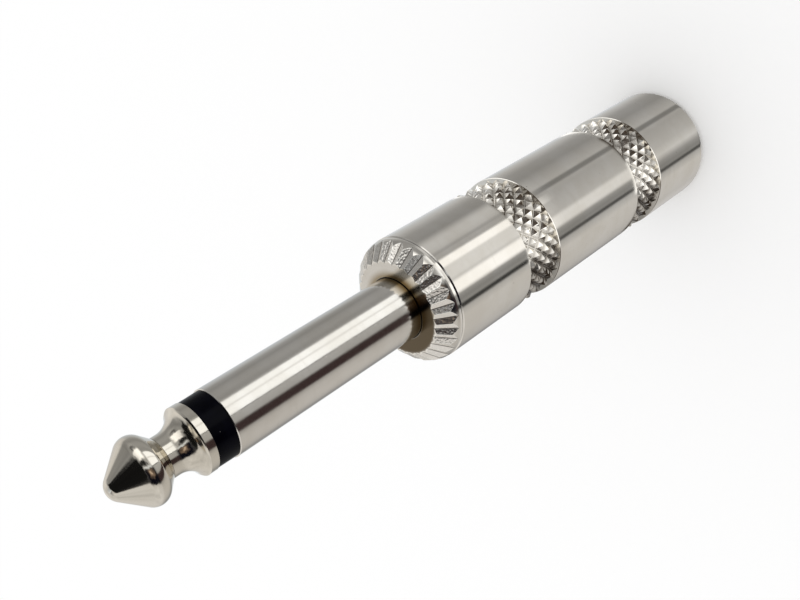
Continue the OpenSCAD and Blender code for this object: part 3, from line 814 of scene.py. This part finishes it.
# %% Collar slice
rim_r, face_r, rim_len, dome_round = 6.36, 4.95, 0.35, 2.6
groove_count, groove_in_r, groove_out_r, groove_drop = 30, 4.73, 6.27, 1.53
groove_half_angle = math.radians(145 / 2)
spigot_z, spigot_core_r, collar_bore_r = 37.15, 4.98, 2.78
dome_centre = Vector((3.8292, 43.9039))
dome_turn = math.degrees((Vector((face_r, face_z)) - dome_centre).angle(
    Vector((rim_r, collar_z + rim_len)) - dome_centre))
rim_bevel = 0.05

collar_outline = (Outline(collar_bore_r, spigot_z).line(spigot_core_r - 0.3, spigot_z)
                  .line(spigot_core_r, spigot_z + 0.3).line(spigot_core_r, collar_z)
                  .line(rim_r - rim_bevel, collar_z).line(rim_r, collar_z + rim_bevel)
                  .line(rim_r, collar_z + rim_len)
                  .arc(dome_centre.x, dome_centre.y, dome_turn, 20)
                  .line(groove_in_r - 0.1, face_z).line(sleeve_r + joint_chamfer, face_z)
                  .line(sleeve_r - joint_chamfer, face_z - 2 * joint_chamfer)
                  .line(collar_bore_r, face_z - 2 * joint_chamfer).close())
slice_angle = math.radians(8)
half_groove = math.pi / groove_count
collar_shape = collar_outline.mesh
bmesh.ops.spin(collar_shape, geom=collar_shape.verts[:] + collar_shape.edges[:], cent=(0, 0, 0),
               axis=(0, 0, 1), dvec=(0, 0, 0), angle=slice_angle, steps=8)

groove_start = Vector((groove_in_r, 0, face_z)) * mm
groove_way = Vector((groove_out_r - groove_in_r, 0, -groove_drop)).normalized()
groove_up = Vector((-groove_way.z, 0, groove_way.x))
facet_normal = groove_up * math.sin(groove_half_angle) - Vector((0, 1, 0)) * math.cos(groove_half_angle)
bmesh.ops.bisect_plane(collar_shape, geom=collar_shape.verts[:] + collar_shape.edges[:] + collar_shape.faces[:],
                       dist=merge_gap, plane_co=groove_start, plane_no=facet_normal)
for vertex in collar_shape.verts:
    above = (vertex.co - groove_start).dot(facet_normal)
    if above > 0:
        vertex.co -= groove_up * above / groove_up.dot(facet_normal)
for face in collar_shape.faces:
    on_facet = all(abs((v.co - groove_start).dot(facet_normal)) < 0.001 * mm for v in face.verts)
    face.material_index = 1 if on_facet else 0
bmesh.ops.bisect_plane(collar_shape, geom=collar_shape.verts[:] + collar_shape.edges[:] + collar_shape.faces[:],
                       dist=merge_gap, plane_co=(0, 0, 0),
                       plane_no=(-math.sin(half_groove), math.cos(half_groove), 0), clear_outer=True)
print("half groove:", len(collar_shape.faces), "faces,",
      sum(f.material_index for f in collar_shape.faces), "of them on the facet")

# %% Collar, all grooves
bmesh.ops.mirror(collar_shape, geom=collar_shape.verts[:] + collar_shape.edges[:] + collar_shape.faces[:],
                 axis="Y", merge_dist=merge_gap)
bmesh.ops.spin(collar_shape, geom=collar_shape.verts[:] + collar_shape.edges[:] + collar_shape.faces[:],
               cent=(0, 0, 0), axis=(0, 0, 1), dvec=(0, 0, 0), use_duplicate=True,
               angle=math.tau * (groove_count - 1) / groove_count, steps=groove_count - 1)
bmesh.ops.remove_doubles(collar_shape, verts=collar_shape.verts[:], dist=merge_gap)
bmesh.ops.recalc_face_normals(collar_shape, faces=collar_shape.faces[:])
print("collar:", len(collar_shape.faces), "faces, open edges:",
      sum(len(e.link_faces) != 2 for e in collar_shape.edges))

# %% [markdown]
# ## Screw thread
#
# The barrel screws onto the collar's spigot with a right-hand thread of 0.75 mm pitch.
# A thread is its own section swept along a helix: spin with a small lift in each step does that.
# The outer and the inner thread use the same sweep with other radii, half a pitch apart,
# so they mesh as they are and still mesh when the barrel is turned off.

# %% Thread sweep
thread_pitch = 0.75
thread_steps = 96
flank_len = 0.46 * math.tan(math.radians(30))


def thread(root_r, crest_r, crest_flat, middle_z, low_z, high_z, outward):
    """A helical thread between two heights, with the middle of a crest at middle_z on the +X side."""
    half_crest = crest_flat / 2
    turns = math.ceil((high_z - low_z) / thread_pitch) + 2
    start_z = middle_z - thread_pitch * (math.ceil((middle_z - low_z) / thread_pitch) + 1)
    section = Outline(root_r, start_z - thread_pitch / 2)
    for r, z in ((root_r, -half_crest - flank_len), (crest_r, -half_crest), (crest_r, half_crest),
                 (root_r, half_crest + flank_len), (root_r, thread_pitch / 2)):
        section.step_to(Vector((r, 0, start_z + z)) * mm)
    shape = section.mesh
    bmesh.ops.spin(shape, geom=shape.verts[:] + shape.edges[:], cent=(0, 0, 0), axis=(0, 0, 1),
                   dvec=(0, 0, thread_pitch * mm / thread_steps), angle=math.tau * turns,
                   steps=turns * thread_steps)
    bmesh.ops.remove_doubles(shape, verts=shape.verts[:], dist=merge_gap)
    for z, way in ((low_z, -1), (high_z, 1)):
        bmesh.ops.bisect_plane(shape, geom=shape.verts[:] + shape.edges[:] + shape.faces[:],
                               dist=merge_gap, plane_co=(0, 0, z * mm), plane_no=(0, 0, way),
                               clear_outer=True)
    bmesh.ops.recalc_face_normals(shape, faces=shape.faces[:])
    shape.normal_update()
    facing = sum(f.normal.x * f.calc_center_median().x + f.normal.y * f.calc_center_median().y
                 for f in shape.faces)
    if (facing > 0) != outward:
        bmesh.ops.reverse_faces(shape, faces=shape.faces[:])
    return shape


spigot_bevel = 0.4
thread_phase = collar_z - 0.3
outer_thread = thread(spigot_core_r + 0.02, 5.46, 0.07, thread_phase, spigot_z + 0.02, collar_z - 0.6, True)
for vertex in outer_thread.verts:
    reach = (5.46 - spigot_bevel) * mm + (vertex.co.z - spigot_z * mm)
    radius = vertex.co.to_2d().length
    if radius > reach:
        vertex.co.x *= reach / radius
        vertex.co.y *= reach / radius
print("outer thread:", len(outer_thread.faces), "faces")
collar_piece = finish_piece("grooved_collar", join(collar_shape, outer_thread),
                            [turned_nickel, pressed_nickel], "plug", ["collar"], sharp=9)

# %% [markdown]
# ## Barrel body
#
# The barrel gets a little wider behind each knurled band, from 12.84 to 13.12 to 13.32 mm.
# Each band lies in a shallow recess. Its front wall slopes, so the knurl's grooves run out
# in points there, as they do under a knurling wheel, and its rear wall is a clean turned step.

# %% Barrel body
front_r, middle_r, rear_r = 6.42, 6.56, 6.66
rear_knurl_z, front_knurl_z, knurl_len, barrel_len = 9.9, 29.15, 4.75, 44.1
knurl_depth, knurl_bed, crest_gap = 0.42, 0.1, 0.02
rear_round, entry_r, entry_bevel, rear_wall = 0.8, 3.4, 0.4, 3.5
cavity_r, nut_r, nut_z = 5.04, 5.52, 36.5
lip_bevel, step_bevel, run_out = 0.1, 0.05, 0.18


def recess(outline, z, rear, front):
    """The bed of one knurled band: a steep rear wall with a bevelled edge, and a sloping front wall."""
    bed_r = front - crest_gap - knurl_depth - knurl_bed
    return (outline.line(rear, z - step_bevel).line(rear - step_bevel, z)
            .line(bed_r, z + 0.12).line(bed_r, z + knurl_len - run_out).line(front, z + knurl_len))


barrel_outline = Outline(entry_r + entry_bevel, 0).line(rear_r - rear_round, 0)
barrel_outline.arc(rear_r - rear_round, rear_round, 90, 16)
recess(barrel_outline, rear_knurl_z, rear_r, middle_r)
recess(barrel_outline, front_knurl_z, middle_r, front_r)
(barrel_outline.line(front_r, barrel_len - lip_bevel).line(front_r - lip_bevel, barrel_len)
 .line(nut_r + 0.15, barrel_len).line(nut_r, barrel_len - 0.15).line(nut_r, nut_z)
 .line(cavity_r, nut_z).line(cavity_r, rear_wall).line(entry_r, rear_wall)
 .line(entry_r, entry_bevel).close())
barrel_shape = turn(barrel_outline)
inner_thread = thread(nut_r - 0.01, 5.06, 0.148, thread_phase - thread_pitch / 2, nut_z + 0.02,
                      barrel_len - 0.1, False)
print("barrel body:", len(barrel_shape.faces), "faces, inner thread:", len(inner_thread.faces))

# %% [markdown]
# ## Knurled bands
#
# Knurling presses crossed grooves into the metal and leaves a net of small pyramids.
# The net starts as a wall of squares round the barrel. Poking a centre into each square and
# dissolving the old edges turns the squares into diamonds. Insetting every diamond
# three times makes the groove floor, the pyramid's flanks and its small worn top.
# The tops are then shifted a little by a smooth noise, because a pressed knurl is never quite even.

# %% Knurl
knurl_count, knurl_rows = 28, 6
groove_floor, flank_run, flank_rise, top_run, top_rise = 0.03, 0.37, 0.37, 0.07, 0.05
knurl_wander, trim_room = 0.03, 0.1


def knurled_band(crest_r, z):
    root_r = crest_r - knurl_depth
    row = knurl_len / knurl_rows
    wall = Outline(root_r, z - 2 * row)
    for number in range(0, knurl_rows + 4, 2):
        wall.step_to(Vector((root_r, 0, z + number * row)) * mm)
    shape = wall.mesh
    column = math.pi / knurl_count
    bmesh.ops.rotate(shape, verts=shape.verts[:], cent=(0, 0, 0), matrix=Matrix.Rotation(column, 3, "Z"))
    bmesh.ops.spin(shape, geom=shape.verts[:] + shape.edges[:], cent=(0, 0, 0), axis=(0, 0, 1),
                   dvec=(0, 0, 0), angle=math.tau, steps=knurl_count, use_merge=True)
    old_edges = shape.edges[:]
    made = bmesh.ops.poke(shape, faces=shape.faces[:])
    for vertex in made["verts"]:
        radius = vertex.co.to_2d().length
        vertex.co.x *= root_r * mm / radius
        vertex.co.y *= root_r * mm / radius
    inner_edges = [e for e in old_edges if len(e.link_faces) == 2]
    bmesh.ops.dissolve_edges(shape, edges=inner_edges, use_verts=False, use_face_split=False)
    shape.normal_update()
    outward = sum(f.normal.x * f.calc_center_median().x + f.normal.y * f.calc_center_median().y
                  for f in shape.faces)
    if outward < 0:
        bmesh.ops.reverse_faces(shape, faces=shape.faces[:])
    diamonds = shape.faces[:]
    for run, rise in ((groove_floor, 0), (flank_run, flank_rise), (top_run, top_rise)):
        bmesh.ops.inset_individual(shape, faces=diamonds, thickness=run * mm, depth=rise * mm,
                                   use_even_offset=True)
    for top in diamonds:
        centre = top.calc_center_median() / mm
        wander = noise.noise_vector(centre * 1.7) * knurl_wander * mm
        for vertex in top.verts:
            vertex.co += wander
    for face in shape.faces:
        face.material_index = 1
    for height, way in ((z - trim_room, -1), (z + knurl_len + trim_room, 1)):
        bmesh.ops.bisect_plane(shape, geom=shape.verts[:] + shape.edges[:] + shape.faces[:],
                               dist=merge_gap, plane_co=(0, 0, height * mm), plane_no=(0, 0, way),
                               clear_outer=True)
    print("knurled band:", len(shape.faces), "faces, highest",
          round(max(v.co.to_2d().length for v in shape.verts) / mm, 3), "mm")
    return shape


barrel_piece = finish_piece("knurled_barrel",
                            join(barrel_shape, inner_thread,
                                 knurled_band(middle_r - crest_gap, rear_knurl_z),
                                 knurled_band(front_r - crest_gap, front_knurl_z)),
                            [turned_nickel, knurled_nickel], "barrel", ["barrel"])
